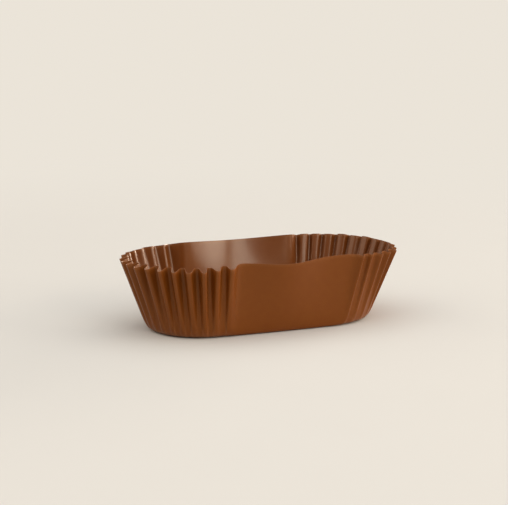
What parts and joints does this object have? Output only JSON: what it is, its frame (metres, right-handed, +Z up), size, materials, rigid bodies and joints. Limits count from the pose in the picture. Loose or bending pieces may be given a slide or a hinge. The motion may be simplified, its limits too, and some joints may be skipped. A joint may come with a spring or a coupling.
{
  "type": "eclair liner",
  "caption": "Oblong paper baking case with a flat floor, flared walls, gathered pleats round both ends and plain bulging side panels.",
  "frame": {"origin": "on the ground under the middle of the case", "axes": "+X along the case's length, +Y across it, away from the side whose plain panel sits right of the middle, +Z up out of its mouth"},
  "size_m": [0.1236, 0.0645, 0.0317],
  "materials": {
    "greaseproof_paper": "brown satin greaseproof paper, calendered smooth"
  },
  "bodies": {
    "root": {"paper_liner": "greaseproof_paper"}
  },
  "joints": []
}
